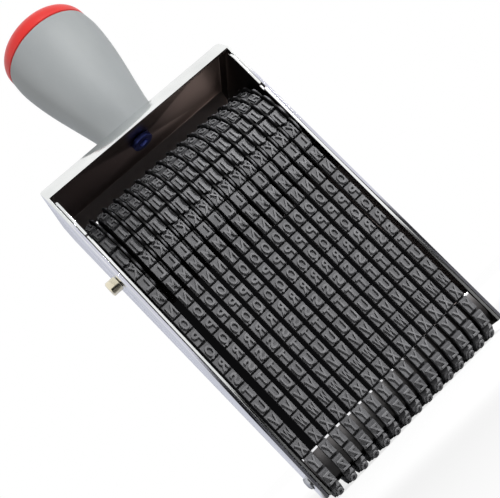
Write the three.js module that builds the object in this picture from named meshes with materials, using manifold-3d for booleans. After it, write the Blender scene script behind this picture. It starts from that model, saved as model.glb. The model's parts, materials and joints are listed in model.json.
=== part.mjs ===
// Band stamp: fifteen endless type bands run over thumb wheels on one axle and round a foot bar,
// between the cheeks of a plated yoke that carries a flared handle.
// Millimetres, +Z up. The printing face lies on z = 0, X runs across the bands, the front faces -Y.
import * as THREE from 'three';
import { mergeVertices } from 'three/addons/utils/BufferGeometryUtils.js';
import Module from 'manifold-3d';

const wasm = await Module();
wasm.setup();

// Clearances
const runGap = 0.3;
const seatGap = 0.2;
const cutOverrun = 2;

// Type bands
const bandCount = 15;
const bandPitch = 4.93;
const bandWidth = 3.3;
const bandCloth = 1.1;
const blockHeight = 1.9;
const bendLine = 0.6;
const characterCount = 47;
const bandTurn = 1.3;
const blockLengthShare = 0.91;
const wheelArcSteps = 9;
const footArcSteps = 3;

// Thumb wheels and axle
const axleHeight = 100;
const axleDiameter = 4;
const wheelRadius = 18;
const wheelSides = 16;
const rimRadius = 22.4;
const toothDepth = 1.3;
const toothCount = 20;
const spacerThickness = 0.7;
const collarThickness = 1.15;
const spacerRadius = 5;
const boreSides = 8;

// Foot bar under the bands' lower bend
const footHalfDepth = 10.2;
const footBendRadius = 6.5;
const footHeight = 12.5;
const footWall = 1.6;
const footEndWall = 2;

// Yoke, folded from sheet
const plateThickness = 0.9;
const cheekThickness = 1;
const webThickness = 1.6;
const webHeadroom = 12.25;
const webEdgeDrop = 6.25;
const webHalfDepth = 15.8;
const webEdgeHalfDepth = 21.4;
const cheekBottomHeight = 2.4;
const cheekBottomHalfDepth = 9.4;
const yokeInnerBend = 0.35;
const yokeBendSteps = 4;
const plateCornerRadius = 4;
const plateNotchDrop = 18;
const plateNotchLength = 2.2;
const plateNotchDepth = 1.1;

// Fasteners
const nutDiameter = 5.6;
const nutLength = 4.1;
const nutEdge = 0.5;
const nutFloor = 1;
const nutSlotWidth = 0.9;
const nutSlotDepth = 0.8;
const fastenerSides = 12;
const footScrewDiameter = 2.4;
const footScrewHeadDiameter = 4.4;
const footScrewHeadHeight = 0.9;
const footScrewSpacing = 9;
const footScrewHeight = 9;
const handleScrewDiameter = 4;
const handleScrewHeadDiameter = 8.4;
const handleScrewHeadHeight = 1.9;
const handleScrewSocket = 4;
const handleScrewSocketDepth = 1.1;
const handleScrewSocketSides = 6;
const handleScrewLength = 22;

// Handle and its cap
const handleSides = 26;
const handleBaseRadius = 11;
const handleWaistRadius = 12.4;
const handleWaistHeight = 9;
const handleFlareRadius = 17;
const handleFlareHeight = 29;
const handleGripRadius = 18.7;
const handleGripHeight = 41;
const handleTopRadius = 18.4;
const handleHeight = 47.8;
const capHeight = 7.8;
const capFlatRadius = 11;
const capEdgeSteps = 5;
const spigotRadius = 14;
const spigotDepth = 4;
const capRimHeight = 1.2;

// Sizes worked out from the ones above
const bandThickness = bandCloth + blockHeight;
const bandInnerRadius = wheelRadius + runGap;
const footBottomHeight = bandThickness + runGap;
const bandInnerHalfDepth = footHalfDepth + runGap;
const bandBendRadius = footBendRadius + runGap;
const drumWidth = bandWidth + 2 * runGap;
const rimThickness = bandPitch - drumWidth - runGap;
const spacerPitch = spacerThickness + runGap;
const innerHalfWidth = (bandCount * bandPitch + spacerPitch + collarThickness + 2 * runGap) / 2;
const plateOuterFace = innerHalfWidth + plateThickness;
const cheekInnerFace = plateOuterFace + seatGap;
const cheekOuterFace = cheekInnerFace + cheekThickness;
const yokeBendRadius = yokeInnerBend + cheekThickness;
const webUnderHeight = axleHeight + rimRadius + webHeadroom;
const webTopHeight = webUnderHeight + webThickness;
const webEdgeHeight = webTopHeight - webEdgeDrop;
const plateTopHeight = webEdgeHeight - runGap;
const handleBase = webTopHeight + seatGap;
const bodyTop = handleBase + handleHeight;
const axleBoreDiameter = axleDiameter + 2 * runGap;
const cheekTaper = (webEdgeHalfDepth - cheekBottomHalfDepth) / (webEdgeHeight - cheekBottomHeight);

const chromeFinish = { color: 0xd9dcde, metalness: 1, roughness: 0.18 };
const steelFinish = { color: 0xb9bcc2, metalness: 1, roughness: 0.35 };
const zincFinish = { color: 0x8f9cc4, metalness: 1, roughness: 0.3 };
const rubberFinish = { color: 0x4a4a4a, metalness: 0, roughness: 0.75 };
const blackPlasticFinish = { color: 0x1d1d1d, metalness: 0, roughness: 0.5 };
const greyPlasticFinish = { color: 0xa9b0b2, metalness: 0, roughness: 0.42 };
const redPlasticFinish = { color: 0xd83a30, metalness: 0, roughness: 0.4 };

const model = new THREE.Group();

function addPiece(name, geometry, finish) {
  const mesh = new THREE.Mesh(geometry, new THREE.MeshStandardMaterial(finish));
  mesh.name = name;
  model.add(mesh);
  return mesh;
}

function welded(geometry) {
  const bare = geometry.clone();
  bare.deleteAttribute('normal');
  bare.deleteAttribute('uv');
  return mergeVertices(bare);
}

function solidOf(geometry) {
  const merged = welded(geometry);
  const vertProperties = new Float32Array(merged.attributes.position.array);
  const triVerts = new Uint32Array(merged.index.array);
  return new wasm.Manifold(new wasm.Mesh({ numProp: 3, vertProperties, triVerts }));
}

function geometryOf(solid) {
  const mesh = solid.getMesh();
  const geometry = new THREE.BufferGeometry();
  geometry.setAttribute('position', new THREE.BufferAttribute(new Float32Array(mesh.vertProperties), 3));
  geometry.setIndex(new THREE.BufferAttribute(new Uint32Array(mesh.triVerts), 1));
  geometry.computeVertexNormals();
  return geometry;
}

// An outline in Y and Z, pushed along X from one face to the other
function alongX(outline, fromX, toX, holes = []) {
  const clockwise = THREE.ShapeUtils.isClockWise(outline);
  const shape = new THREE.Shape(clockwise ? [...outline].reverse() : outline);
  for (const hole of holes) {
    shape.holes.push(new THREE.Path(hole));
  }
  const geometry = new THREE.ExtrudeGeometry(shape, { depth: toX - fromX, bevelEnabled: false });
  const turn = new THREE.Matrix4().makeBasis(
    new THREE.Vector3(0, 1, 0),
    new THREE.Vector3(0, 0, 1),
    new THREE.Vector3(1, 0, 0),
  );
  geometry.applyMatrix4(turn);
  geometry.translate(fromX, 0, 0);
  return geometry;
}

// An outline in X and Z, pushed along Y from the front to the back
function alongY(outline, halfDepth) {
  const shape = new THREE.Shape(outline);
  const geometry = new THREE.ExtrudeGeometry(shape, { depth: 2 * halfDepth, bevelEnabled: false });
  geometry.rotateX(Math.PI / 2);
  geometry.translate(0, halfDepth, 0);
  return geometry;
}

function arcPoints(centre, radius, fromAngle, toAngle, steps) {
  const points = [];
  for (let step = 0; step <= steps; step += 1) {
    const angle = fromAngle + (toAngle - fromAngle) * step / steps;
    points.push(new THREE.Vector2(centre.x + radius * Math.cos(angle), centre.y + radius * Math.sin(angle)));
  }
  return points;
}

function circlePoints(y, z, radius, sides) {
  return arcPoints(new THREE.Vector2(y, z), radius, 0, 2 * Math.PI, sides).slice(0, sides);
}

function discAlongX(y, z, radius, fromX, toX, sides, boreRadius = 0) {
  const holes = boreRadius > 0 ? [circlePoints(y, z, boreRadius, boreSides)] : [];
  return alongX(circlePoints(y, z, radius, sides), fromX, toX, holes);
}

function revolve(profile, sides, baseHeight) {
  const geometry = new THREE.LatheGeometry(profile, sides);
  geometry.rotateX(Math.PI / 2);
  geometry.translate(0, 0, baseHeight);
  return welded(geometry);
}

// The band's inner path: up from the middle of the foot, round its bend, up the strand and over the wheel.
const footBendCentre = new THREE.Vector2(-(bandInnerHalfDepth - bandBendRadius), bandThickness + bandBendRadius);
const wheelCentre = new THREE.Vector2(0, axleHeight);
const centreLine = wheelCentre.clone().sub(footBendCentre);
const strandNormalAngle = centreLine.angle()
  + Math.acos((bandBendRadius - bandInnerRadius) / centreLine.length());
const downAngle = 1.5 * Math.PI;
const upAngle = 0.5 * Math.PI;
const flatLength = -footBendCentre.x;
const bendLength = (bandBendRadius + bendLine) * (downAngle - strandNormalAngle);
const strandLength = Math.sqrt(centreLine.lengthSq() - (bandInnerRadius - bandBendRadius) ** 2);
const wrapLength = (bandInnerRadius + bendLine) * (strandNormalAngle - upAngle);
const halfBandLength = flatLength + bendLength + strandLength + wrapLength;
const characterPitch = 2 * halfBandLength / characterCount;

// A point of the band at a distance along its bend line from the middle of the foot, at a height off its inner face
function bandPoint(distance, height) {
  const along = THREE.MathUtils.euclideanModulo(distance, 2 * halfBandLength);
  const front = along <= halfBandLength;
  let rest = front ? along : 2 * halfBandLength - along;
  const point = new THREE.Vector2();
  if (rest < flatLength) {
    point.set(-rest, bandThickness - height);
  } else if (rest < flatLength + bendLength) {
    rest -= flatLength;
    const angle = downAngle - rest / (bandBendRadius + bendLine);
    point.set(Math.cos(angle), Math.sin(angle)).multiplyScalar(bandBendRadius + height).add(footBendCentre);
  } else if (rest < flatLength + bendLength + strandLength) {
    rest -= flatLength + bendLength;
    const normal = new THREE.Vector2(Math.cos(strandNormalAngle), Math.sin(strandNormalAngle));
    const climb = new THREE.Vector2(normal.y, -normal.x);
    point.copy(footBendCentre).addScaledVector(normal, bandBendRadius + height).addScaledVector(climb, rest);
  } else {
    rest -= flatLength + bendLength + strandLength;
    const angle = strandNormalAngle - rest / (bandInnerRadius + bendLine);
    point.set(Math.cos(angle), Math.sin(angle)).multiplyScalar(bandInnerRadius + height).add(wheelCentre);
  }
  if (!front) {
    point.x = -point.x;
  }
  return point;
}

// One block for each character, with a V groove down to the cloth between blocks.
// The bands are turned a little past the middle of the foot.
function bandOutline() {
  const points = [];
  const halfBlock = blockLengthShare * characterPitch / 2;
  for (let index = 0; index < characterCount; index += 1) {
    const middle = index * characterPitch + bandTurn;
    points.push(bandPoint(middle - halfBlock, bandThickness));
    points.push(bandPoint(middle + halfBlock, bandThickness));
    points.push(bandPoint(middle + characterPitch / 2, bandCloth));
  }
  return points;
}

// The inner face keeps its radius at the middle of each chord, so it never cuts into the wheel or the foot
function bandInside() {
  const wrapStep = (strandNormalAngle - upAngle) / wheelArcSteps;
  const bendStep = (downAngle - strandNormalAngle) / footArcSteps;
  const wrapRadius = bandInnerRadius / Math.cos(wrapStep / 2);
  const bendRadius = bandBendRadius / Math.cos(bendStep / 2);
  const bendEnd = strandNormalAngle + bendStep / 2;
  const wrapStart = strandNormalAngle - wrapStep / 2;
  const front = [
    ...arcPoints(footBendCentre, bendRadius, downAngle - bendStep / 2, bendEnd, footArcSteps - 1),
    ...arcPoints(wheelCentre, wrapRadius, wrapStart, upAngle + wrapStep / 2, wheelArcSteps - 1),
  ];
  const back = front.map((point) => new THREE.Vector2(-point.x, point.y)).reverse();
  return [...front, ...back];
}

// Left face of each wheel; a spacer stands between the first wheel and the second
function wheelLeftFace(index) {
  return -innerHalfWidth + runGap + index * bandPitch + (index > 0 ? spacerPitch : 0);
}

function toothedOutline() {
  const points = [];
  for (let corner = 0; corner < 2 * toothCount; corner += 1) {
    const radius = corner % 2 === 0 ? rimRadius : rimRadius - toothDepth;
    const angle = Math.PI * corner / toothCount;
    points.push(new THREE.Vector2(Math.cos(angle), Math.sin(angle)).multiplyScalar(radius).add(wheelCentre));
  }
  return points;
}

function printWheel(leftFace) {
  const bore = [circlePoints(0, axleHeight, axleBoreDiameter / 2, boreSides)];
  const drumOutline = circlePoints(0, axleHeight, wheelRadius, wheelSides);
  const drum = alongX(drumOutline, leftFace, leftFace + drumWidth, bore);
  const rim = alongX(toothedOutline(), leftFace + drumWidth, leftFace + drumWidth + rimThickness, bore);
  return geometryOf(solidOf(drum).add(solidOf(rim)));
}

function addBandsAndWheels() {
  const outline = bandOutline();
  const inside = bandInside();
  for (let index = 0; index < bandCount; index += 1) {
    const number = String(index + 1).padStart(2, '0');
    const leftFace = wheelLeftFace(index);
    const bandLeft = leftFace + runGap;
    addPiece(`band_${number}`, alongX(outline, bandLeft, bandLeft + bandWidth, [inside]), rubberFinish);
    addPiece(`print_wheel_${number}`, printWheel(leftFace), blackPlasticFinish);
  }
}

function addAxle() {
  const boreRadius = axleBoreDiameter / 2;
  const nutFace = cheekOuterFace + seatGap;
  const axleEnd = nutFace + nutLength - nutFloor - runGap;
  addPiece('axle', discAlongX(0, axleHeight, axleDiameter / 2, -axleEnd, axleEnd, boreSides), steelFinish);
  const spacerLeft = wheelLeftFace(0) + bandPitch;
  const spacer = discAlongX(
    0, axleHeight, spacerRadius, spacerLeft, spacerLeft + spacerThickness, fastenerSides, boreRadius,
  );
  addPiece('wheel_spacer', spacer, steelFinish);
  const collarLeft = wheelLeftFace(bandCount - 1) + bandPitch;
  const collar = discAlongX(
    0, axleHeight, spacerRadius, collarLeft, collarLeft + collarThickness, fastenerSides, boreRadius,
  );
  addPiece('end_collar', collar, steelFinish);
  for (const [side, sign] of [['left', -1], ['right', 1]]) {
    addPiece(`axle_nut_${side}`, axleNut(sign, nutFace), chromeFinish);
  }
}

// A blind cap nut with a turned edge, a bore open towards the cheek and a slot across its end
function axleNut(sign, nutFace) {
  const radius = nutDiameter / 2;
  const boreRadius = axleBoreDiameter / 2;
  const boreDepth = nutLength - nutFloor;
  const profile = [
    new THREE.Vector2(0, boreDepth),
    new THREE.Vector2(boreRadius, boreDepth),
    new THREE.Vector2(boreRadius, 0),
    new THREE.Vector2(radius, 0),
    new THREE.Vector2(radius, nutLength - nutEdge),
    new THREE.Vector2(radius - nutEdge, nutLength),
    new THREE.Vector2(0, nutLength),
  ];
  const body = new THREE.LatheGeometry(profile, fastenerSides);
  const slot = new THREE.BoxGeometry(nutSlotWidth, 2 * nutSlotDepth, nutDiameter + cutOverrun);
  slot.translate(0, nutLength, 0);
  const nut = geometryOf(solidOf(body).subtract(solidOf(slot)));
  nut.rotateZ(-sign * Math.PI / 2);
  nut.translate(sign * nutFace, 0, axleHeight);
  return nut;
}

// Half depth of a cheek at a height: both edges taper in towards the printing end
function cheekHalfDepth(height) {
  return cheekBottomHalfDepth + (height - cheekBottomHeight) * cheekTaper;
}

function sideOutline() {
  return [
    new THREE.Vector2(-cheekBottomHalfDepth, cheekBottomHeight),
    new THREE.Vector2(cheekBottomHalfDepth, cheekBottomHeight),
    new THREE.Vector2(webEdgeHalfDepth, webEdgeHeight),
    new THREE.Vector2(webHalfDepth, webTopHeight),
    new THREE.Vector2(-webHalfDepth, webTopHeight),
    new THREE.Vector2(-webEdgeHalfDepth, webEdgeHeight),
  ];
}

// The hollow under the web: the sheet keeps its thickness behind the folded front and back edges
function webHollowOutline() {
  const lean = Math.hypot(webEdgeHalfDepth - webHalfDepth, webTopHeight - webEdgeHeight);
  const edgeStep = webThickness * lean / (webTopHeight - webEdgeHeight);
  const slide = (webEdgeHalfDepth - webHalfDepth) / (webTopHeight - webEdgeHeight);
  const edgeInside = webEdgeHalfDepth - edgeStep;
  const topInside = edgeInside - (webUnderHeight - webEdgeHeight) * slide;
  const openHalfDepth = webEdgeHalfDepth + cutOverrun;
  return [
    new THREE.Vector2(-openHalfDepth, cheekBottomHeight - cutOverrun),
    new THREE.Vector2(openHalfDepth, cheekBottomHeight - cutOverrun),
    new THREE.Vector2(openHalfDepth, webEdgeHeight),
    new THREE.Vector2(edgeInside, webEdgeHeight),
    new THREE.Vector2(topInside, webUnderHeight),
    new THREE.Vector2(-topInside, webUnderHeight),
    new THREE.Vector2(-edgeInside, webEdgeHeight),
    new THREE.Vector2(-openHalfDepth, webEdgeHeight),
  ];
}

// A sheet folded twice, seen from the front, down to below the cheeks
function foldOutline(halfWidth, topHeight, bendRadius) {
  const bendHeight = topHeight - bendRadius;
  const bendOffset = halfWidth - bendRadius;
  const bottom = cheekBottomHeight - cutOverrun;
  return [
    new THREE.Vector2(-halfWidth, bottom),
    new THREE.Vector2(halfWidth, bottom),
    ...arcPoints(new THREE.Vector2(bendOffset, bendHeight), bendRadius, 0, upAngle, yokeBendSteps),
    ...arcPoints(new THREE.Vector2(-bendOffset, bendHeight), bendRadius, upAngle, Math.PI, yokeBendSteps),
  ];
}

// Holes that the axle and the foot screws need in a cheek or a side plate
function sideHoles() {
  const reach = cheekOuterFace + cutOverrun;
  const holes = [discAlongX(0, axleHeight, axleBoreDiameter / 2, -reach, reach, boreSides)];
  for (const y of [-footScrewSpacing / 2, footScrewSpacing / 2]) {
    holes.push(discAlongX(y, footScrewHeight, footScrewDiameter / 2 + runGap, -reach, reach, boreSides));
  }
  return holes.map(solidOf);
}

function uprightCylinder(radius, height, bottomHeight, sides) {
  const geometry = new THREE.CylinderGeometry(radius, radius, height, sides);
  geometry.rotateX(Math.PI / 2);
  geometry.translate(0, 0, bottomHeight + height / 2);
  return geometry;
}

function addYoke() {
  const outerOutline = foldOutline(cheekOuterFace, webTopHeight, yokeBendRadius);
  const outerFold = solidOf(alongY(outerOutline, webEdgeHalfDepth));
  const side = solidOf(alongX(sideOutline(), -cheekOuterFace, cheekOuterFace));
  const innerOutline = foldOutline(cheekInnerFace, webUnderHeight, yokeInnerBend);
  const innerFold = solidOf(alongY(innerOutline, webEdgeHalfDepth + cutOverrun));
  const hollow = solidOf(alongX(webHollowOutline(), -cheekInnerFace, cheekInnerFace));
  let yoke = outerFold.intersect(side).subtract(innerFold.intersect(hollow));
  for (const hole of sideHoles()) {
    yoke = yoke.subtract(hole);
  }
  const webCut = webThickness + 2 * cutOverrun;
  const screwHole = uprightCylinder(
    handleScrewDiameter / 2 + runGap, webCut, webUnderHeight - cutOverrun, fastenerSides,
  );
  addPiece('yoke', geometryOf(yoke.subtract(solidOf(screwHole))), chromeFinish);
}

function sidePlateOutline() {
  const topHalfDepth = cheekHalfDepth(plateTopHeight);
  const cornerHeight = plateTopHeight - plateCornerRadius;
  const cornerOffset = topHalfDepth - plateCornerRadius;
  const backCorner = new THREE.Vector2(cornerOffset, cornerHeight);
  const frontCorner = new THREE.Vector2(-cornerOffset, cornerHeight);
  return [
    new THREE.Vector2(-cheekBottomHalfDepth, cheekBottomHeight),
    new THREE.Vector2(cheekBottomHalfDepth, cheekBottomHeight),
    ...arcPoints(backCorner, plateCornerRadius, 0, upAngle, yokeBendSteps),
    ...arcPoints(frontCorner, plateCornerRadius, upAngle, Math.PI, yokeBendSteps),
  ];
}

// Small notches in both edges, where the plate was held when its cheek was folded over it
function plateNotches(sign) {
  const height = plateTopHeight - plateNotchDrop;
  const edge = cheekHalfDepth(height);
  return [-edge, edge].map((y) => {
    const notch = new THREE.BoxGeometry(plateThickness + 2 * seatGap, 2 * plateNotchDepth, plateNotchLength);
    notch.translate(sign * (innerHalfWidth + plateThickness / 2), y, height);
    return solidOf(notch);
  });
}

function addSidePlates() {
  const outline = sidePlateOutline();
  for (const [side, sign] of [['left', -1], ['right', 1]]) {
    const faces = [sign * innerHalfWidth, sign * plateOuterFace];
    let plate = solidOf(alongX(outline, Math.min(...faces), Math.max(...faces)));
    for (const cut of [...sideHoles(), ...plateNotches(sign)]) {
      plate = plate.subtract(cut);
    }
    addPiece(`side_plate_${side}`, geometryOf(plate), chromeFinish);
  }
}

function footOutline(inset) {
  const bendRadius = footBendRadius - inset;
  const halfDepth = footHalfDepth - inset;
  const bottom = footBottomHeight + inset;
  const top = footBottomHeight + footHeight + (inset > 0 ? cutOverrun : 0);
  const frontBend = new THREE.Vector2(bendRadius - halfDepth, bottom + bendRadius);
  const backBend = new THREE.Vector2(halfDepth - bendRadius, bottom + bendRadius);
  return [
    new THREE.Vector2(halfDepth, top),
    new THREE.Vector2(-halfDepth, top),
    ...arcPoints(frontBend, bendRadius, Math.PI, downAngle, yokeBendSteps),
    ...arcPoints(backBend, bendRadius, downAngle, 2 * Math.PI, yokeBendSteps),
  ];
}

// The foot is a trough with closed ends, which the side screws hold
function addFoot() {
  const halfLength = innerHalfWidth - seatGap;
  const trough = halfLength - footEndWall;
  let foot = solidOf(alongX(footOutline(0), -halfLength, halfLength));
  foot = foot.subtract(solidOf(alongX(footOutline(footWall), -trough, trough)));
  const reach = halfLength + cutOverrun;
  const holeRadius = footScrewDiameter / 2 + runGap;
  for (const y of [-footScrewSpacing / 2, footScrewSpacing / 2]) {
    foot = foot.subtract(solidOf(discAlongX(y, footScrewHeight, holeRadius, -reach, reach, boreSides)));
  }
  addPiece('foot_bar', geometryOf(foot), steelFinish);
}

function footScrew(sign, y) {
  const headRadius = footScrewHeadDiameter / 2;
  const shankRadius = footScrewDiameter / 2;
  const shankLength = cheekOuterFace + seatGap - innerHalfWidth + seatGap + footEndWall;
  const profile = [
    new THREE.Vector2(0, -shankLength),
    new THREE.Vector2(shankRadius, -shankLength),
    new THREE.Vector2(shankRadius, 0),
    new THREE.Vector2(headRadius, 0),
    new THREE.Vector2(headRadius, footScrewHeadHeight / 2),
    new THREE.Vector2(shankRadius, footScrewHeadHeight),
    new THREE.Vector2(0, footScrewHeadHeight),
  ];
  const screw = new THREE.LatheGeometry(profile, boreSides);
  screw.rotateZ(-sign * Math.PI / 2);
  screw.translate(sign * (cheekOuterFace + seatGap), y, footScrewHeight);
  return welded(screw);
}

function addFootScrews() {
  for (const [side, sign] of [['left', -1], ['right', 1]]) {
    for (const [end, y] of [['front', -footScrewSpacing / 2], ['back', footScrewSpacing / 2]]) {
      addPiece(`foot_screw_${side}_${end}`, footScrew(sign, y), steelFinish);
    }
  }
}

// The grip's outer line is one smooth curve through its waist, flare and widest turn
function gripProfile() {
  const knots = [
    new THREE.Vector2(handleBaseRadius, 0),
    new THREE.Vector2(handleWaistRadius, handleWaistHeight),
    new THREE.Vector2(handleFlareRadius, handleFlareHeight),
    new THREE.Vector2(handleGripRadius, handleGripHeight),
    new THREE.Vector2(handleTopRadius, handleHeight),
  ];
  return new THREE.SplineCurve(knots).getPoints(2 * (knots.length - 1));
}

function addHandle() {
  const boreRadius = handleScrewDiameter / 2 + runGap;
  const boreDepth = handleScrewLength - webThickness - seatGap;
  const profile = [
    new THREE.Vector2(0, boreDepth),
    new THREE.Vector2(boreRadius, boreDepth),
    new THREE.Vector2(boreRadius, 0),
    ...gripProfile(),
    new THREE.Vector2(spigotRadius + runGap, handleHeight),
    new THREE.Vector2(spigotRadius + runGap, handleHeight - spigotDepth - runGap),
    new THREE.Vector2(0, handleHeight - spigotDepth - runGap),
  ];
  addPiece('handle', revolve(profile, handleSides, handleBase), greyPlasticFinish);
}

// The cap plugs into the grip and ends in a low crown with a round edge
function addCap() {
  const edge = [];
  for (let step = 0; step <= capEdgeSteps; step += 1) {
    const angle = upAngle * step / capEdgeSteps;
    const radius = capFlatRadius + (handleTopRadius - capFlatRadius) * Math.cos(angle);
    edge.push(new THREE.Vector2(radius, capRimHeight + (capHeight - capRimHeight) * Math.sin(angle)));
  }
  const profile = [
    new THREE.Vector2(0, -spigotDepth),
    new THREE.Vector2(spigotRadius, -spigotDepth),
    new THREE.Vector2(spigotRadius, 0),
    new THREE.Vector2(handleTopRadius, 0),
    ...edge,
    new THREE.Vector2(0, capHeight),
  ];
  addPiece('handle_cap', revolve(profile, handleSides, bodyTop + seatGap), redPlasticFinish);
}

function addHandleScrew() {
  const headTop = webUnderHeight - seatGap;
  const shank = uprightCylinder(handleScrewDiameter / 2, handleScrewLength - runGap, headTop, boreSides);
  const head = uprightCylinder(
    handleScrewHeadDiameter / 2, handleScrewHeadHeight, headTop - handleScrewHeadHeight, fastenerSides,
  );
  const socketDepth = handleScrewSocketDepth + cutOverrun;
  const socket = uprightCylinder(
    handleScrewSocket / 2, socketDepth, headTop - handleScrewHeadHeight - cutOverrun, handleScrewSocketSides,
  );
  addPiece('handle_screw', geometryOf(solidOf(head).add(solidOf(shank)).subtract(solidOf(socket))), zincFinish);
}

addYoke();
addSidePlates();
addFoot();
addFootScrews();
addBandsAndWheels();
addAxle();
addHandle();
addCap();
addHandleScrew();

export default model;
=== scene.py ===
# Band stamp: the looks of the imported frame, in metres, in the frame's own coordinates.
import json
import math

import bmesh
import bpy
from mathutils import Matrix, Vector

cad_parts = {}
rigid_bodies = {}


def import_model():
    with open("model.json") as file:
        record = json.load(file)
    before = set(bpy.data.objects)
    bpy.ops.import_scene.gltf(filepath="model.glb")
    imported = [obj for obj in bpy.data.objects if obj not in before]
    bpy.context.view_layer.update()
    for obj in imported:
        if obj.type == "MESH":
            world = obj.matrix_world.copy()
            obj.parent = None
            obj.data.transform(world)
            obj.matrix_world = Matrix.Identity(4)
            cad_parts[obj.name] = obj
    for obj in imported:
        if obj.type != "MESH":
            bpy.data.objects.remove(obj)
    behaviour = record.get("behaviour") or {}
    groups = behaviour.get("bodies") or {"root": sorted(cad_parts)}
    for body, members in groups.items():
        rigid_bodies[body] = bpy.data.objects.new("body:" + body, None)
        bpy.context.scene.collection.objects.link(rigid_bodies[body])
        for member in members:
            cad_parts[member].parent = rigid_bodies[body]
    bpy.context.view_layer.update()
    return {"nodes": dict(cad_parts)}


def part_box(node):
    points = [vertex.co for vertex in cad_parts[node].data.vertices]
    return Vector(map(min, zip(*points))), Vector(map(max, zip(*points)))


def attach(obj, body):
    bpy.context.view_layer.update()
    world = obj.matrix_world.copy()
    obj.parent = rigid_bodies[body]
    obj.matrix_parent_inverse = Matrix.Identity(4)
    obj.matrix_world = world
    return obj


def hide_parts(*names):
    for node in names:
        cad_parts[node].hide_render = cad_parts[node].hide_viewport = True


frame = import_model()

MM = 0.001
FINE_MERGE = 1e-7
MERGE = 1e-6

# Repeated pieces of the frame
BAND_COUNT = 15
BAND_NAMES = [f"band_{number + 1:02d}" for number in range(BAND_COUNT)]
WHEEL_NAMES = [f"print_wheel_{number + 1:02d}" for number in range(BAND_COUNT)]

# Type bands
CHARACTERS = "ABCDEFGHIJKLMNOPQRSTUVWXYZ0123456789.,-/&+()?!="
LETTER_AT_FOOT = 27
BAND_WIDTH = 3.3 * MM
BAND_THICKNESS = 3.0 * MM
BEND_LINE = 0.6 * MM
BAND_TURN = 1.3 * MM
RIB_HEIGHT = 0.45 * MM
RIB_ROOT = 0.05 * MM
RIB_DRAFT = 0.2 * MM
RIB_LENGTH_SHARE = 0.24
CLOTH_TOP = 1.1 * MM
ROOT_DEPTH = 0.2 * MM
BLOCK_TOP = 2.4 * MM
BLOCK_LENGTH_SHARE = 0.895
BLOCK_DRAFT = 0.07 * MM
GLYPH_HEIGHT = 3.6 * MM
GLYPH_WIDTH = 2.6 * MM
GLYPH_SHIFT = 0.3 * MM
GLYPH_ASIDE = 0.18 * MM
GLYPH_ROOT_SHARE = 0.3
UNEVENNESS = 0.05 * MM
RELIEF = "relief"

# Wheels, foot and cheeks, as the frame has them
WHEEL_RADIUS = 18.3 * MM
FOOT_HALF_DEPTH = 10.5 * MM
FOOT_BEND = 6.8 * MM
FOOT_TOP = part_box("foot_bar")[1][2]
CHEEK_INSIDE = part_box("yoke")[1][0] - 1.0 * MM
CHEEK_TOP = 116 * MM
AXLE_HEIGHT = 100 * MM
RIM_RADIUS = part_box("print_wheel_01")[1][2] - AXLE_HEIGHT

# Places between which painted shade, sheen, glint and highlight change, each from and to
INWARD_REACH = (20 * MM, 35 * MM)
CHEEK_EDGE = (CHEEK_INSIDE - 0.1 * MM, CHEEK_INSIDE + 0.05 * MM)
CHEEK_FADE = (CHEEK_TOP, CHEEK_TOP + 4 * MM)
FOOT_GLINT_BAND = (FOOT_TOP - 0.8 * MM, FOOT_TOP - 0.7 * MM)
TIP_HIGHLIGHT_BAND = (RIM_RADIUS - 0.3 * MM, RIM_RADIUS - 0.04 * MM)


class Wire:
    """A socket with arithmetic: an expression on wires adds its Math nodes to the material."""

    def __init__(self, shader, socket):
        self.shader = shader
        self.socket = socket

    def _math(self, operation, first, second=0.0):
        return self.shader.node("Math", {"operation": operation}, {0: first, 1: second})["Value"]

    def __add__(self, other):
        return self._math("ADD", self, other)

    __radd__ = __add__

    def __sub__(self, other):
        return self._math("SUBTRACT", self, other)

    def __rsub__(self, other):
        return self._math("SUBTRACT", other, self)

    def __mul__(self, other):
        return self._math("MULTIPLY", self, other)

    __rmul__ = __mul__


class Built:
    """A node whose outputs are read by name as wires."""

    def __init__(self, shader, node):
        self.shader = shader
        self.raw = node

    def __getitem__(self, name):
        return Wire(self.shader, self.raw.outputs[name])


class Shader:
    """A material or a world under construction, with one method that adds any node."""

    def __init__(self, name, kind=bpy.data.materials):
        self.owner = kind.new(name)
        self.owner.use_nodes = True
        self.tree = self.owner.node_tree
        self.tree.nodes.clear()
        self.given = self.node("TexCoord")
        self.coordinates = self.given["Object"]

    def node(self, kind, settings=None, inputs=None):
        built = self.tree.nodes.new("ShaderNode" + kind)
        for key, value in (settings or {}).items():
            setattr(built, key, value)
        for key, value in (inputs or {}).items():
            if isinstance(value, Wire):
                self.tree.links.new(value.socket, built.inputs[key])
            else:
                built.inputs[key].default_value = value
        return Built(self, built)

    def noise(self, scale, detail=3.0, stretch=(1.0, 1.0, 1.0)):
        place = self.node("Mapping", {}, {"Vector": self.coordinates, "Scale": stretch})["Vector"]
        return self.node("TexNoise", {}, {"Vector": place, "Scale": scale, "Detail": detail})["Fac"]

    def blend(self, amount, first, second):
        mixed = self.node("Mix", {"data_type": "RGBA"}, {0: amount, 6: first, 7: second})
        return Wire(self, mixed.raw.outputs[2])

    def band(self, value, low, high):
        inputs = {"Value": value, "From Min": low, "From Max": high}
        return self.node("MapRange", {"clamp": True}, inputs)["Result"]

    def larger(self, first, second):
        return self.node("Math", {"operation": "MAXIMUM"}, {0: first, 1: second})["Value"]

    def size(self, value):
        return self.node("Math", {"operation": "ABSOLUTE"}, {0: value})["Value"]

    def parts(self, vector):
        return self.node("SeparateXYZ", {}, {0: vector})

    def bump(self, height, distance, strength):
        inputs = {"Height": height, "Distance": distance, "Strength": strength}
        return self.node("Bump", {}, inputs)["Normal"]

    def finish(self, **sockets):
        named = {key.replace("_", " "): value for key, value in sockets.items()}
        principled = self.node("BsdfPrincipled", {}, named)
        self.node("OutputMaterial", {}, {"Surface": principled["BSDF"]})
        return self.owner


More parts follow.
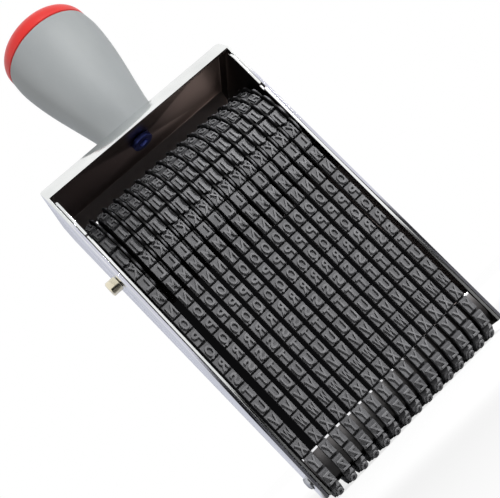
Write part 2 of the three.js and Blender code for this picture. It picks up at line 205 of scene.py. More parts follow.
def linear(red, green, blue):
    """A colour as given on screen, 0 to 255, as the linear value that a shader takes."""
    def straight(value):
        share = value / 255
        return share / 12.92 if share <= 0.04045 else ((share + 0.055) / 1.055) ** 2.4
    return (straight(red), straight(green), straight(blue), 1.0)


def rubber_finish():
    """Matt moulded rubber with a dusty grey bloom on the raised faces. The strip and the low parts of the
    blocks' sides are dark: painted shade in the grooves. The raised characters' tops are lighter than the
    block faces: a painted highlight.
    """
    shader = Shader("type rubber")
    bloom = shader.band(shader.noise(260.0, 4.0), 0.38, 0.66)
    grain = shader.noise(4200.0, 2.0)
    raised = shader.node("Attribute", {"attribute_name": RELIEF})["Fac"]
    faces = shader.blend(bloom, linear(80, 80, 82), linear(96, 96, 98))
    # Painted highlight: the raised characters' tops are lighter than the block faces.
    highlit_letters = shader.blend(bloom, linear(96, 96, 98), linear(114, 114, 116))
    # Painted shade: the strip and the low parts of the blocks' sides are dark.
    colour = shader.blend(shader.band(raised, 0.0, 0.6), linear(38, 38, 40), faces)
    colour = shader.blend(shader.band(raised, 1.2, 1.9), colour, highlit_letters)
    rough = 0.52 + 0.22 * grain
    normal = shader.bump(grain, 0.02 * MM, 0.5)
    return shader.finish(Base_Color=colour, Roughness=rough, Normal=normal, Specular_IOR_Level=0.4)


def plate_finish(name, dark, light, roughness, tone_and_painted_shade=None):
    """Bright plated sheet: faint rolling lines, a slight waviness and a few duller patches.

    A second, darker colour, where given, is painted shade on the faces that look down, which are also
    rougher. Such a sheet then also has painted shade on the rougher faces that look inwards, and a painted
    cool sheen along the cheeks' front and back edges.
    """
    shader = Shader(name)
    lines = shader.noise(900.0, 2.0, (1.0, 1.0, 0.06))
    patches = shader.band(shader.noise(45.0, 3.0), 0.42, 0.7)
    colour = shader.blend(patches, light, dark)
    rough = roughness + 0.06 * patches + 0.05 * lines
    if tone_and_painted_shade:
        facing = shader.parts(shader.node("NewGeometry")["Normal"])
        place = shader.parts(shader.coordinates)
        # Painted shade on the faces that look down.
        under = shader.band(-1.0 * facing["Z"], 0.3, 0.5)
        # Painted shade on the faces that look inwards, towards the wheels.
        inward = shader.band(-1.0 * facing["X"] * place["X"], *INWARD_REACH)
        # Painted cool sheen along the cheeks' front and back edges, below their top.
        outer = shader.band(shader.size(place["X"]), *CHEEK_EDGE)
        below = 1.0 - shader.band(place["Z"], *CHEEK_FADE)
        edge = outer * below * shader.band(shader.size(facing["Y"]), 0.7, 0.9)
        colour = shader.blend(edge, shader.blend(under, colour, tone_and_painted_shade), linear(204, 204, 216))
        colour = shader.blend(inward, colour, linear(64, 60, 60))
        rough = rough + 0.22 * shader.larger(under, inward)
    wave = shader.noise(60.0, 1.0) + 0.05 * lines
    normal = shader.bump(wave, 0.004 * MM, 0.4)
    return shader.finish(Base_Color=colour, Roughness=rough, Normal=normal, Metallic=1.0)


def foot_finish():
    """The foot's folded plate, its dark tone partly its own and partly painted shade, with a painted glint: a
    near-white, smoother strip along its top.
    """
    shader = Shader("foot plate")
    patches = shader.band(shader.noise(45.0, 3.0), 0.42, 0.7)
    # Painted glint: a near-white strip along the plate's top.
    painted_glint = shader.band(shader.parts(shader.coordinates)["Z"], *FOOT_GLINT_BAND)
    # The plate's dark tone is partly its own and partly painted shade from the bands in front of it.
    tone_and_painted_shade = shader.blend(patches, linear(118, 116, 116), linear(92, 88, 88))
    colour = shader.blend(painted_glint, tone_and_painted_shade, linear(244, 244, 246))
    rough = 0.3 + 0.06 * patches - 0.15 * painted_glint
    normal = shader.bump(shader.noise(900.0, 2.0), 0.004 * MM, 0.4)
    return shader.finish(Base_Color=colour, Roughness=rough, Normal=normal, Metallic=1.0)


def plastic_finish(name, deep, pale, roughness, tip_highlight=None):
    """Moulded plastic: slow flow marks in the colour, a fine satin texture and light scuffs.

    A tip highlight colour, where given, is a painted highlight on the thumb wheels' tooth crests.
    """
    shader = Shader(name)
    flow = shader.band(shader.noise(55.0, 3.0, (1.0, 1.0, 0.35)), 0.35, 0.68)
    texture = shader.noise(2600.0, 3.0)
    scuffs = shader.band(shader.noise(380.0, 6.0, (1.0, 1.0, 0.3)), 0.62, 0.74)
    colour = shader.blend(flow, deep, pale)
    if tip_highlight:
        # Painted highlight on the thumb wheels' tooth crests.
        spoke = shader.node("Mapping", {}, {
            "Vector": shader.coordinates, "Location": (0.0, 0.0, -AXLE_HEIGHT), "Scale": (0.0, 1.0, 1.0),
        })["Vector"]
        radius = shader.node("VectorMath", {"operation": "LENGTH"}, {0: spoke})["Value"]
        colour = shader.blend(shader.band(radius, *TIP_HIGHLIGHT_BAND), colour, tip_highlight)
    rough = roughness + 0.08 * texture + 0.1 * scuffs
    normal = shader.bump(texture, 0.012 * MM, 0.4)
    shine = 0.2 if tip_highlight else 0.5
    return shader.finish(Base_Color=colour, Roughness=rough, Normal=normal, Specular_IOR_Level=shine)


RUBBER = rubber_finish()
# The last colour is painted shade on the chrome's faces that look down.
CHROME = plate_finish("bright plated sheet", linear(226, 228, 227), linear(244, 245, 244), 0.07,
                      linear(180, 170, 166))
STEEL = plate_finish("turned steel", linear(150, 152, 156), linear(196, 198, 202), 0.28)
NICKEL = plate_finish("warm nickel", linear(216, 206, 180), linear(244, 238, 218), 0.1)
ZINC = plate_finish("blue zinc", linear(76, 88, 172), linear(108, 122, 206), 0.4)
# The last colour is a painted highlight on the wheels' tooth crests.
BLACK_PLASTIC = plastic_finish("black plastic", linear(8, 8, 9), linear(16, 16, 17), 0.46,
                               linear(104, 104, 107))
GREY_PLASTIC = plastic_finish("grey handle plastic", linear(162, 166, 168), linear(174, 178, 179), 0.55)
FOOT_STEEL = foot_finish()
RED_PLASTIC = plastic_finish("red cap plastic", linear(228, 38, 34), linear(242, 54, 48), 0.34)


def new_object(name, data):
    """An object in the scene that carries a mesh, a curve, a lamp or the camera."""
    made = bpy.data.objects.new(name, data)
    bpy.context.scene.collection.objects.link(made)
    return made


def settle(name, mesh, material, body, replaced):
    """Makes a mesh a piece of the stamp: its finish, the body it rides on and what it stands for."""
    piece = new_object(name, mesh)
    mesh.materials.clear()
    mesh.materials.append(material)
    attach(piece, body)
    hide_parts(*replaced)


def smooth_by_angle(mesh, degrees=35):
    mesh.shade_smooth()
    mesh.set_sharp_from_angle(angle=math.radians(degrees))


def mesh_from(name, points, faces):
    mesh = bpy.data.meshes.new(name)
    mesh.from_pydata([tuple(point) for point in points], [], faces)
    mesh.update()
    return mesh


def closed_mesh(name, edit):
    """Ends an edit: the mesh that it made, with its faces turned outwards."""
    bmesh.ops.recalc_face_normals(edit, faces=edit.faces)
    mesh = bpy.data.meshes.new(name)
    edit.to_mesh(mesh)
    edit.free()
    return mesh


def merged(mesh):
    """The same mesh with its doubled points joined and its faces turned outwards."""
    edit = bmesh.new()
    edit.from_mesh(mesh)
    bmesh.ops.remove_doubles(edit, verts=edit.verts, dist=FINE_MERGE)
    return closed_mesh(mesh.name, edit)


def baked(source, name):
    """The plain mesh that an object's modifiers give."""
    graph = bpy.context.evaluated_depsgraph_get()
    mesh = bpy.data.meshes.new_from_object(source.evaluated_get(graph))
    mesh.name = name
    return mesh


class BandPath:
    """The path of a band, with the same bends as the frame's own bands."""

    def __init__(self):
        self.foot = Vector((-(FOOT_HALF_DEPTH - FOOT_BEND), BAND_THICKNESS + FOOT_BEND))
        self.wheel = Vector((0.0, AXLE_HEIGHT))
        span = self.wheel - self.foot
        turn = math.acos((FOOT_BEND - WHEEL_RADIUS) / span.length)
        self.lean = math.atan2(span.y, span.x) + turn
        self.flat = -self.foot.x
        self.bend = (FOOT_BEND + BEND_LINE) * (1.5 * math.pi - self.lean)
        self.strand = math.sqrt(span.length_squared - (WHEEL_RADIUS - FOOT_BEND) ** 2)
        self.wrap = (WHEEL_RADIUS + BEND_LINE) * (self.lean - 0.5 * math.pi)
        self.half = self.flat + self.bend + self.strand + self.wrap
        self.length = 2 * self.half
        self.pitch = self.length / len(CHARACTERS)

    def point(self, distance, height):
        """Y and Z of a point along the bend line, at a height off the band's inner face."""
        rest = distance % self.length
        mirrored = rest > self.half
        if mirrored:
            rest = self.length - rest
        if rest < self.flat:
            place = Vector((-rest, BAND_THICKNESS - height))
        elif rest < self.flat + self.bend:
            angle = 1.5 * math.pi - (rest - self.flat) / (FOOT_BEND + BEND_LINE)
            place = self.foot + (FOOT_BEND + height) * Vector((math.cos(angle), math.sin(angle)))
        elif rest < self.flat + self.bend + self.strand:
            out = Vector((math.cos(self.lean), math.sin(self.lean)))
            climb = Vector((out.y, -out.x))
            place = self.foot + (FOOT_BEND + height) * out + (rest - self.flat - self.bend) * climb
        else:
            angle = self.lean - (rest - self.half + self.wrap) / (WHEEL_RADIUS + BEND_LINE)
            place = self.wheel + (WHEEL_RADIUS + height) * Vector((math.cos(angle), math.sin(angle)))
        return Vector((-place.x if mirrored else place.x, place.y))


PATH = BandPath()
STATIONS = 4 * len(CHARACTERS)


def path_curve():
    """The bend line as a closed curve that starts at the first block's middle."""
    curve = bpy.data.curves.new("bend line", "CURVE")
    curve.dimensions = "3D"
    spline = curve.splines.new("POLY")
    count = 2 * STATIONS
    spline.points.add(count - 1)
    for index, point in enumerate(spline.points):
        place = PATH.point(BAND_TURN + index * PATH.length / count, BEND_LINE)
        point.co = (0.0, place.x, place.y, 1.0)
    spline.use_cyclic_u = True
    return new_object("bend line", curve)


def cloth_mesh():
    """The plain strip that carries the blocks: a loop of rectangular section."""
    half = BAND_WIDTH / 2
    points = []
    faces = []
    for station in range(STATIONS):
        distance = station * PATH.length / STATIONS
        for height in (RIB_HEIGHT, CLOTH_TOP):
            place = PATH.point(distance, height)
            points.append((-half, place.x, place.y))
            points.append((half, place.x, place.y))
    for station in range(STATIONS):
        here = 4 * station
        there = 4 * ((station + 1) % STATIONS)
        for first, second in ((0, 1), (1, 3), (3, 2), (2, 0)):
            faces.append((here + first, here + second, there + second, there + first))
    return merged(mesh_from("band cloth", points, faces))


def tapered_block(name, half_width, half_length, bottom, top, draft):
    """A four-sided block whose sides draw in towards its top."""
    points = []
    for height, inset in ((bottom, 0.0), (top, draft)):
        for side, end in ((-1, -1), (1, -1), (1, 1), (-1, 1)):
            points.append((side * (half_width - inset), end * (half_length - inset), height))
    faces = [(3, 2, 1, 0), (4, 5, 6, 7)]
    faces += [(edge, (edge + 1) % 4, 4 + (edge + 1) % 4, 4 + edge) for edge in range(4)]
    return mesh_from(name, points, faces)


def glyph_mesh(character, factor):
    """One raised character, mirrored as type is, with drafted sides."""
    text = bpy.data.curves.new("type", "FONT")
    text.body = character
    text.size = 1.0
    text.align_x = "CENTER"
    text.resolution_u = 3
    text.offset = 0.008
    text.extrude = 0.09
    text.bevel_depth = 0.022
    text.bevel_resolution = 0
    holder = new_object("type", text)
    mesh = baked(holder, "type")
    bpy.data.objects.remove(holder)
    xs = [vertex.co.x for vertex in mesh.vertices]
    middle = (min(xs) + max(xs)) / 2
    wide = max(xs) - min(xs)
    across = min(factor, GLYPH_WIDTH / wide)
    relief = BAND_THICKNESS - BLOCK_TOP
    tall = max(vertex.co.z for vertex in mesh.vertices)
    for vertex in mesh.vertices:
        x, y, z = vertex.co
        vertex.co = (GLYPH_ASIDE - (x - middle) * across, y * factor - GLYPH_HEIGHT / 2 - GLYPH_SHIFT,
                     BLOCK_TOP + relief * max(z / tall, -GLYPH_ROOT_SHARE))
    return mesh


def character_blocks():
    """A collection with one block for each place round the band, in order from the foot."""
    group = bpy.data.collections.new("type blocks")
    measure = bpy.data.curves.new("measure", "FONT")
    measure.body = "H"
    holder = new_object("measure", measure)
    tall = max(vertex.co.y for vertex in baked(holder, "measure").vertices)
    bpy.data.objects.remove(holder)
    factor = GLYPH_HEIGHT / tall
    half_width = BAND_WIDTH / 2
    half_length = BLOCK_LENGTH_SHARE * PATH.pitch / 2
    for place in range(len(CHARACTERS)):
        character = CHARACTERS[(LETTER_AT_FOOT - place) % len(CHARACTERS)]
        edit = bmesh.new()
        edit.from_mesh(tapered_block(
            "block", half_width, half_length, CLOTH_TOP - ROOT_DEPTH, BLOCK_TOP, BLOCK_DRAFT))
        edit.from_mesh(glyph_mesh(character, factor))
        bmesh.ops.remove_doubles(edit, verts=edit.verts, dist=FINE_MERGE)
        bmesh.ops.translate(edit, verts=edit.verts, vec=(0, 0, -BEND_LINE))
        mesh = closed_mesh(f"block {place:02d}", edit)
        # The relief, 0 on the strip, 1 on the block faces and 2 on the characters' tops, places the rubber's
        # painted shade and painted highlight.
        raised = mesh.attributes.new(RELIEF, "FLOAT", "POINT")
        for vertex in mesh.vertices:
            height = vertex.co.z + BEND_LINE
            block = max(0.0, (height - CLOTH_TOP) / (BLOCK_TOP - CLOTH_TOP))
            letter = max(0.0, (height - BLOCK_TOP) / (BAND_THICKNESS - BLOCK_TOP))
            raised.data[vertex.index].value = min(block, 1.0) + letter
        group.objects.link(bpy.data.objects.new(f"block {place:02d}", mesh))
    return group


class Tree:
    """A Geometry Nodes tree under construction, with one method that adds any node."""

    def __init__(self, name):
        self.group = bpy.data.node_groups.new(name, "GeometryNodeTree")
        self.group.interface.new_socket("Geometry", in_out="OUTPUT", socket_type="NodeSocketGeometry")
        self.group.interface.new_socket("Geometry", in_out="INPUT", socket_type="NodeSocketGeometry")
        self.names = {}

    def setting(self, name, kind, value=None):
        socket = self.group.interface.new_socket(name, in_out="INPUT", socket_type="NodeSocket" + kind)
        if value is not None:
            socket.default_value = value
        self.names[name] = socket.identifier

    def start(self):
        return self.group.nodes.new("NodeGroupInput").outputs

    def node(self, kind, settings=None, inputs=None):
        built = self.group.nodes.new(kind)
        for key, value in (settings or {}).items():
            setattr(built, key, value)
        for key, value in (inputs or {}).items():
            if isinstance(value, bpy.types.NodeSocket):
                self.group.links.new(value, built.inputs[key])
            else:
                built.inputs[key].default_value = value
        return built.outputs

    def end(self, geometry):
        output = self.group.nodes.new("NodeGroupOutput")
        self.group.links.new(geometry, output.inputs[0])


def band_tree():
    """Blocks, set a little unevenly, and inner ribs at even steps along the bend line, on the cloth."""
    tree = Tree("type band")
    tree.setting("Characters", "Collection")
    tree.setting("Cloth", "Object")
    tree.setting("Rib", "Object")
    tree.setting("Character Count", "Int", len(CHARACTERS))
    tree.setting("Unevenness", "Float", UNEVENNESS)
    tree.setting("Seed", "Int", 1)
    tree.setting("Finish", "Material")
    given = tree.start()

    def along(count):
        inputs = {"Curve": given["Geometry"], "Count": count}
        return tree.node("GeometryNodeResampleCurve", {}, inputs)["Curve"]

    tangent = tree.node("GeometryNodeInputTangent")["Tangent"]
    parts = tree.node("ShaderNodeSeparateXYZ", {}, {0: tangent})
    lean = tree.node("ShaderNodeMath", {"operation": "ARCTAN2"}, {0: parts["Z"], 1: parts["Y"]})["Value"]
    turn = tree.node("ShaderNodeCombineXYZ", {}, {"X": lean})["Vector"]
    place = tree.node("GeometryNodeInputIndex")["Index"]
    wander = tree.node("FunctionNodeRandomValue", {"data_type": "FLOAT_VECTOR"},
                       {0: (-1.0, -1.0, -0.2), 1: (1.0, 1.0, 0.0), "ID": place, "Seed": given["Seed"]})[0]
    drift = tree.node("ShaderNodeVectorMath", {"operation": "SCALE"},
                      {0: wander, "Scale": given["Unevenness"]})["Vector"]
    blocks = tree.node("GeometryNodeCollectionInfo", {},
                       {"Collection": given["Characters"], "Separate Children": True, "Reset Children": True})
    set_blocks = tree.node("GeometryNodeInstanceOnPoints", {},
                           {"Points": along(given["Character Count"]), "Instance": blocks[0],
                            "Pick Instance": True, "Instance Index": place, "Rotation": turn})["Instances"]
    moved = tree.node("GeometryNodeTranslateInstances", {},
                      {"Instances": set_blocks, "Translation": drift})["Instances"]
    rib_count = tree.node("ShaderNodeMath", {"operation": "MULTIPLY"},
                          {0: given["Character Count"], 1: 2.0})["Value"]
    rib = tree.node("GeometryNodeObjectInfo", {}, {"Object": given["Rib"]})["Geometry"]
    ribs = tree.node("GeometryNodeInstanceOnPoints", {},
                     {"Points": along(rib_count), "Instance": rib, "Rotation": turn})["Instances"]
    cloth = tree.node("GeometryNodeObjectInfo", {}, {"Object": given["Cloth"]})["Geometry"]
    joined = tree.group.nodes.new("GeometryNodeJoinGeometry")
    for geometry in (moved, ribs, cloth):
        tree.group.links.new(geometry, joined.inputs[0])
    real = tree.node("GeometryNodeRealizeInstances", {}, {0: joined.outputs[0]})[0]
    tree.end(tree.node("GeometryNodeSetMaterial", {}, {"Geometry": real, "Material": given["Finish"]})[0])
    return tree


def make_bands():
    tree = band_tree()
    line = path_curve()
    rib_mesh = tapered_block("rib", BAND_WIDTH / 2, RIB_LENGTH_SHARE * PATH.pitch,
                             RIB_HEIGHT + RIB_ROOT - BEND_LINE, -BEND_LINE, RIB_DRAFT)
    settings = {
        "Characters": character_blocks(), "Cloth": new_object("cloth", cloth_mesh()),
        "Rib": new_object("rib", merged(rib_mesh)), "Finish": RUBBER,
    }
    for number, name in enumerate(BAND_NAMES):
        low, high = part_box(name)
        middle = (low[0] + high[0]) / 2
        modifier = line.modifiers.new("band", "NODES")
        modifier.node_group = tree.group
        for key, value in settings.items():
            modifier[tree.names[key]] = value
        modifier[tree.names["Seed"]] = number + 1
        mesh = baked(line, name)
        line.modifiers.remove(modifier)
        mesh.transform(Matrix.Translation((middle, 0.0, 0.0)))
        smooth_by_angle(mesh, 28)
        settle(f"type_{name}", mesh, RUBBER, "frame", [name])
    for made in (line, settings["Cloth"], settings["Rib"]):
        bpy.data.objects.remove(made)
    for made in list(settings["Characters"].objects):
        bpy.data.objects.remove(made)
    bpy.data.collections.remove(settings["Characters"])


# Thumb wheels
RIM_TEETH = 20
TOOTH_STEPS = 8
DRUM_NOTCHES = 40
NOTCH_STEPS = 4
NOTCH_SHARE = 0.45
TOOTH_POWER = 0.7
WHEEL_EDGE = 0.18 * MM
BORE_RADIUS = 2.3 * MM
DRUM_RADIUS = 18.0 * MM
NOTCH_DEPTH = 0.35 * MM
RIM_DEPTH = 1.25 * MM
DRUM_CLEARANCE = 0.6 * MM


def outline_disc(edit, radius_at, steps, left, right):
    """A disc along X whose rim follows radius_at(angle), with eased edges and a round bore."""
    rings = [
        (left, BORE_RADIUS, None), (left, None, WHEEL_EDGE), (left + WHEEL_EDGE, None, 0.0),
        (right - WHEEL_EDGE, None, 0.0), (right, None, WHEEL_EDGE), (right, BORE_RADIUS, None),
    ]
    rows = []
    for x, fixed, inset in rings:
        row = []
        for step in range(steps):
            angle = 2 * math.pi * step / steps
            radius = fixed if fixed is not None else radius_at(angle) - inset
            row.append(edit.verts.new(
                (x, radius * math.cos(angle), AXLE_HEIGHT + radius * math.sin(angle))))
        rows.append(row)
    for first, second in zip(rows, rows[1:] + rows[:1]):
        for step in range(steps):
            after = (step + 1) % steps
            edit.faces.new((first[step], first[after], second[after], second[step]))


def rim_radius(outer):
    """The toothed outline of a thumb rim, as a radius for each angle."""
    def at(angle):
        phase = (angle * RIM_TEETH / (2 * math.pi) + 0.5) % 1.0
        rise = math.sin(math.pi * phase)
        return outer - RIM_DEPTH + RIM_DEPTH * rise ** TOOTH_POWER
    return at


def drum_radius(angle):
    """The notched outline of the drum that drives the band."""
    phase = (angle * DRUM_NOTCHES / (2 * math.pi)) % 1.0
    return DRUM_RADIUS - (NOTCH_DEPTH if phase < NOTCH_SHARE else 0.0)


def make_wheels():
    for name in WHEEL_NAMES:
        low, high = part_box(name)
        drum_right = low[0] + BAND_WIDTH + DRUM_CLEARANCE
        outer = (high[2] - low[2]) / 2
        edit = bmesh.new()
        outline_disc(edit, drum_radius, NOTCH_STEPS * DRUM_NOTCHES, low[0], drum_right)
        outline_disc(edit, rim_radius(outer), TOOTH_STEPS * RIM_TEETH, drum_right, high[0])
        mesh = closed_mesh(name, edit)
        smooth_by_angle(mesh)
        settle(f"thumb_{name}", mesh, BLACK_PLASTIC, f"wheel_{name[-2:]}", [name])


def turned(name, profile, segments):
    """A closed body of revolution about Z from (radius, height) points that start and end on the axis."""
    edit = bmesh.new()
    rows = []
    for radius, height in profile:
        if radius == 0:
            rows.append([edit.verts.new((0, 0, height))])
            continue
        angles = (2 * math.pi * step / segments for step in range(segments))
        rows.append([edit.verts.new((radius * math.cos(a), radius * math.sin(a), height)) for a in angles])
    for first, second in zip(rows, rows[1:]):
        for step in range(segments):
            after = (step + 1) % segments
            corners = [first[step % len(first)], first[after % len(first)],
                       second[after % len(second)], second[step % len(second)]]
            unique = list(dict.fromkeys(corners))
            if len(unique) > 2:
                edit.faces.new(unique)
    return closed_mesh(name, edit)


# Handle and cap; a knot of the grip is its radius and height above the grip's foot, in millimetres
HANDLE_SEGMENTS = 96
GRIP_KNOTS = ((11, 0), (12.4, 9), (17, 29), (18.7, 41))
GRIP_TOP_RADIUS = 18.4 * MM
GRIP_EASE = 0.4 * MM
GRIP_STEPS = 10
SCREW_BORE = 2.3 * MM
SCREW_BORE_DEPTH = 20 * MM
POCKET_RADIUS = 14.3 * MM
POCKET_DEPTH = 4.3 * MM
PLUG_RADIUS = 14 * MM
PLUG_DEPTH = 4 * MM
CAP_EASE = 0.3 * MM
CAP_FLAT = 11 * MM
CAP_LIFT = 1.2 * MM
CAP_STEPS = 18


def curve_through(knots, steps):
    """A smooth line through knots, the same kind of curve as the frame's grip."""
    line = []
    for index in range(len(knots) - 1):
        before = knots[max(index - 1, 0)]
        start, end = knots[index], knots[index + 1]
        after = knots[min(index + 2, len(knots) - 1)]
        for step in range(steps):
            t = step / steps
            pull = (end - before) * 0.5
            push = (after - start) * 0.5
            line.append((2 * start - 2 * end + pull + push) * t ** 3
                        + (-3 * start + 3 * end - 2 * pull - push) * t ** 2 + pull * t + start)
    line.append(knots[-1])
    return line


def make_handle():
    low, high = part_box("handle")
    cap_low, cap_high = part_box("handle_cap")
    base = low[2]
    top = high[2]
    knots = [Vector(pair) * MM for pair in GRIP_KNOTS]
    knots.append(Vector((GRIP_TOP_RADIUS, top - base)))
    outer = [(point.x, base + point.y) for point in curve_through(knots, GRIP_STEPS)]
    outer[0] = (outer[0][0] - GRIP_EASE, base)
    outer.insert(1, (outer[0][0] + GRIP_EASE, base + GRIP_EASE))
    outer[-1] = (outer[-1][0] - GRIP_EASE / 2, top)
    outer.insert(-1, (outer[-1][0] + GRIP_EASE / 2, top - GRIP_EASE))
    profile = [
        (0, base + SCREW_BORE_DEPTH), (SCREW_BORE, base + SCREW_BORE_DEPTH), (SCREW_BORE, base), *outer,
        (POCKET_RADIUS, top), (POCKET_RADIUS, top - POCKET_DEPTH), (0, top - POCKET_DEPTH),
    ]
    mesh = turned("handle", profile, HANDLE_SEGMENTS)
    smooth_by_angle(mesh)
    settle("grip_shell", mesh, GREY_PLASTIC, "frame", ["handle"])

    seat = cap_low[2] + PLUG_DEPTH
    crown = cap_high[2]
    dome = []
    for step in range(CAP_STEPS + 1):
        angle = 0.5 * math.pi * step / CAP_STEPS
        radius = CAP_FLAT + (GRIP_TOP_RADIUS - CAP_FLAT) * math.cos(angle)
        dome.append((radius, seat + CAP_LIFT + (crown - seat - CAP_LIFT) * math.sin(angle)))
    profile = [
        (0, cap_low[2]), (PLUG_RADIUS, cap_low[2]), (PLUG_RADIUS, seat),
        (GRIP_TOP_RADIUS - CAP_EASE, seat), (GRIP_TOP_RADIUS, seat + CAP_EASE), *dome, (0, crown),
    ]
    mesh = turned("handle cap", profile, HANDLE_SEGMENTS)
    smooth_by_angle(mesh)
    settle("red_cap", mesh, RED_PLASTIC, "frame", ["handle_cap"])


def eased_copy(node, material, width, segments=2):
    """The CAD node's own shape with its coplanar triangles joined and its edges eased."""
    source = frame["nodes"][node]
    edit = bmesh.new()
    edit.from_mesh(source.data)
    bmesh.ops.remove_doubles(edit, verts=edit.verts, dist=MERGE)
    bmesh.ops.dissolve_limit(edit, angle_limit=math.radians(2), verts=edit.verts, edges=edit.edges)
    holder = new_object("holder", closed_mesh(node, edit))
    bevel = holder.modifiers.new("ease", "BEVEL")
    bevel.width = width
    bevel.segments = segments
    bevel.limit_method = "ANGLE"
    bevel.angle_limit = math.radians(40)
    bevel.harden_normals = False
    eased = baked(holder, f"eased {node}")
    bpy.data.objects.remove(holder)
    smooth_by_angle(eased)
    settle(f"eased_{node}", eased, material, "frame", [node])


def make_frame_pieces():
    eased_copy("yoke", CHROME, width=0.22 * MM)
    for side in ("left", "right"):
        eased_copy(f"side_plate_{side}", CHROME, width=0.15 * MM)
        eased_copy(f"axle_nut_{side}", NICKEL, width=0.15 * MM)
        for end in ("front", "back"):
            eased_copy(f"foot_screw_{side}_{end}", STEEL, width=0.1 * MM)
    eased_copy("foot_bar", FOOT_STEEL, width=0.4 * MM, segments=3)
    eased_copy("handle_screw", ZINC, width=0.25 * MM)
    for node in ("axle", "wheel_spacer", "end_collar"):
        eased_copy(node, STEEL, width=0.1 * MM, segments=1)


# Camera: its place and the directions of its view and its upper edge
CAMERA_PLACE = Vector((-56.44, -264.96, 18.21)) * MM
CAMERA_FORWARD = Vector((0.20219, 0.95571, 0.21386))
CAMERA_UP = Vector((0.66525, -0.29429, 0.68618))
CAMERA_LENS = 58.147


def make_camera():
    data = bpy.data.cameras.new("photo view")
    data.lens = CAMERA_LENS
    data.sensor_width = 36.0
    data.clip_start = 0.01
    data.clip_end = 20.0
    camera = new_object("photo view", data)
    back = -CAMERA_FORWARD.normalized()
    right = CAMERA_UP.cross(back).normalized()
    up = back.cross(right)
    camera.matrix_world = Matrix.LocRotScale(
        CAMERA_PLACE, Matrix((right, up, back)).transposed().to_quaternion(), None)
    bpy.context.scene.camera = camera


def place_lamp(name, data, place, target):
    lamp = new_object(name, data)
    direction = Vector(target) - Vector(place)
    lamp.location = place
    lamp.rotation_euler = direction.to_track_quat("-Z", "Y").to_euler()
    return lamp


def soft_box(name, place, target, size, power):
    """A wide lamp that polished surfaces don't mirror."""
    data = bpy.data.lights.new(name, "AREA")
    data.shape = "RECTANGLE"
    data.size, data.size_y = size
    data.energy = power
    place_lamp(name, data, place, target).visible_glossy = False


def spot(name, place, target, reach, softness, power, bulb):
    """A lamp whose round pool of light has the given radius at its target."""
    data = bpy.data.lights.new(name, "SPOT")
    data.spot_size = 2 * math.atan2(reach, (Vector(target) - Vector(place)).length)
    data.spot_blend = softness
    data.shadow_soft_size = bulb
    data.energy = power
    place_lamp(name, data, place, target)


# Staging: sizes, places between which something changes, the lamps' targets, and tones
FLOOR_HALF = 3.0
FLOOR_GAP = 0.05 * MM
SHADOW_ROUND = (0.04, 0.2)
DIM_ASIDE = (0.15, 0.3)
DIM_AHEAD = (0.25, 0.5)
BEHIND = (0.0, 0.05)
SKY_BEHIND = (0.6, 0.9)
CARD_FADE = (114 * MM, 122 * MM)
CORNER_FADE = (10 * MM, 38 * MM)
FOOT_FRONT = (-0.012, -0.015, 0.014)
HANDLE_MIDDLE = (0.0, 0.0, 0.168)
STAMP_MIDDLE = (0.0, 0.0, 0.09)
WHITE = (1.0, 1.0, 1.0, 1.0)
COOL_WHITE = linear(206, 208, 220)
FLOOR_SHARE = (0.85, 0.85, 0.85, 1.0)
MIRRORED_FLOOR_SHARE = (0.13, 0.13, 0.13, 1.0)
NEAR_GLOW = 0.78
MOST_GLOW = 0.96
FLOOR_STRENGTH = 1.03
DIM_SKY = 0.06
CARD_DARK = linear(12, 12, 13)


def stage_sheet(name, corners, shader):
    mesh = mesh_from(name, corners, [(0, 1, 2, 3)])
    mesh.materials.append(shader.owner)
    new_object(name, mesh)


def make_floor():
    """A white floor that keeps a soft shadow round the stamp.

    It is clear from below, and bright metal sees it pale, but for a dim patch close in front, which is
    painted shade in reflections.
    """
    shader = Shader("pale floor")
    rays = shader.node("LightPath")
    place = shader.parts(shader.coordinates)
    aside = shader.size(place["X"])
    ahead = -1.0 * place["Y"]
    wide = shader.node("VectorMath", {"operation": "LENGTH"}, {0: shader.coordinates})["Value"]
    away = NEAR_GLOW + (1.0 - NEAR_GLOW) * shader.band(wide, *SHADOW_ROUND)
    seen = rays["Is Camera Ray"] * away * MOST_GLOW
    far = shader.larger(shader.band(aside, *DIM_ASIDE), shader.band(ahead, *DIM_AHEAD))
    behind = shader.band(place["Y"], *BEHIND)
    # Close in front, reflections see the plain floor at a dim share: painted shade in reflections.
    mirrored = rays["Is Glossy Ray"] * shader.larger(far, behind)
    glow_colour = shader.blend(rays["Is Glossy Ray"] * behind, WHITE, COOL_WHITE)
    share = shader.blend(rays["Is Glossy Ray"], FLOOR_SHARE, MIRRORED_FLOOR_SHARE)
    plain = shader.node("BsdfDiffuse", {}, {"Color": share})["BSDF"]
    glow = shader.node("Emission", {}, {"Color": glow_colour, "Strength": FLOOR_STRENGTH})["Emission"]
    lit = shader.node("MixShader", {}, {0: shader.larger(seen, mirrored), 1: plain, 2: glow})["Shader"]
    clear = shader.node("BsdfTransparent")["BSDF"]
    below = shader.node("NewGeometry")["Backfacing"]
    mixed = shader.node("MixShader", {}, {0: below, 1: lit, 2: clear})["Shader"]
    shader.node("OutputMaterial", {}, {"Surface": mixed})
    ends = ((-1, -1), (1, -1), (1, 1), (-1, 1))
    stage_sheet("floor", [(FLOOR_HALF * x, FLOOR_HALF * y, -FLOOR_GAP) for x, y in ends], shader)


def card_corners(left, right, depth, bottom, top):
    """The corners of an upright card across the stamp, from sizes in millimetres."""
    corners = ((left, bottom), (right, bottom), (right, top), (left, top))
    return [(x * MM, depth * MM, z * MM) for x, z in corners]


def stage_card(name, shader, seen, glow, corners):
    """A card that glows to the rays that see it and is clear to all others."""
    clear = shader.node("BsdfTransparent")["BSDF"]
    mixed = shader.node("MixShader", {}, {0: seen, 1: clear, 2: glow})["Shader"]
    shader.node("OutputMaterial", {}, {"Surface": mixed})
    stage_sheet(name, corners, shader)


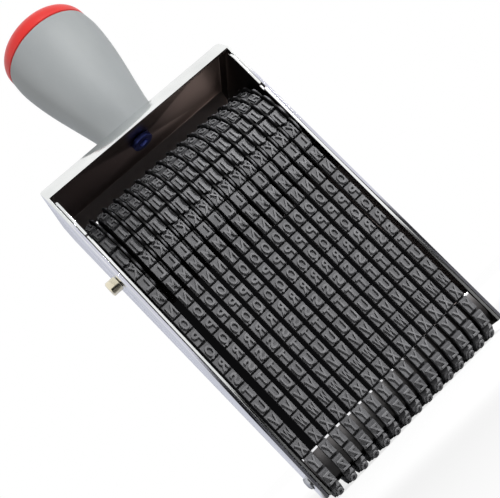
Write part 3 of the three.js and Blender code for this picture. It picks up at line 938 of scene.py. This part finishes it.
def make_cards():
    """A glowing card behind the stamp that only bright metal sees, a painted reflection, and a dark card in
    the hollow of the bands, painted shade seen through the gaps.
    """
    shader = Shader("reflected card")
    facing = 1.0 - shader.node("NewGeometry")["Backfacing"]
    seen = facing * shader.node("LightPath")["Is Glossy Ray"]
    place = shader.parts(shader.coordinates)
    lower = 1.0 - shader.band(place["Z"], *CARD_FADE)
    corner = shader.band(place["X"], *CORNER_FADE)
    # Painted reflection: dark below, with a pale warm patch towards the upper right.
    pale = shader.blend(corner, linear(88, 80, 80), linear(252, 232, 224))
    glow = shader.node("Emission", {}, {"Color": shader.blend(lower, CARD_DARK, pale)})["Emission"]
    corners = card_corners(left=-38, right=41, depth=22.8, bottom=12, top=134)
    stage_card("reflected card", shader, seen, glow, corners)

    # Painted shade: a dark sheet between the strands that only the camera sees, through the gaps between the
    # bands.
    shader = Shader("hollow card")
    seen = shader.node("LightPath")["Is Camera Ray"]
    dark = shader.node("Emission", {}, {"Color": CARD_DARK})["Emission"]
    corners = card_corners(left=-38, right=39, depth=3, bottom=13.5, top=86)
    stage_card("hollow card", shader, seen, dark, corners)


def make_world():
    """White to the camera and to bright metal, cooler behind the stamp in reflections, dim otherwise."""
    shader = Shader("studio", bpy.data.worlds)
    rays = shader.node("LightPath")
    behind = shader.band(shader.parts(shader.given["Generated"])["Y"], *SKY_BEHIND)
    colour = shader.blend(rays["Is Glossy Ray"] * behind, WHITE, COOL_WHITE)
    seen = shader.larger(rays["Is Camera Ray"], rays["Is Glossy Ray"])
    strength = seen * (1.0 - DIM_SKY) + DIM_SKY
    sky = shader.node("Background", {}, {"Color": colour, "Strength": strength})["Background"]
    shader.node("OutputWorld", {}, {"Surface": sky})
    bpy.context.scene.world = shader.owner


def make_studio():
    make_floor()
    make_cards()
    make_world()
    spot("key", (0.42, -0.55, 0.47), FOOT_FRONT, reach=0.097, softness=0.45, power=43.0, bulb=0.015)
    spot("handle light", (0.35, -0.75, 0.3), HANDLE_MIDDLE, reach=0.036, softness=0.1, power=49.0, bulb=0.05)
    spot("handle fill", (-0.82, -0.22, 0.3), HANDLE_MIDDLE, reach=0.036, softness=0.1, power=19.0, bulb=0.05)
    soft_box("back light", (0.3, 0.6, 0.35), STAMP_MIDDLE, size=(0.4, 0.4), power=3.2)
    bpy.context.scene.view_settings.view_transform = "Standard"


make_camera()
make_studio()
make_frame_pieces()
make_wheels()
make_bands()
make_handle()
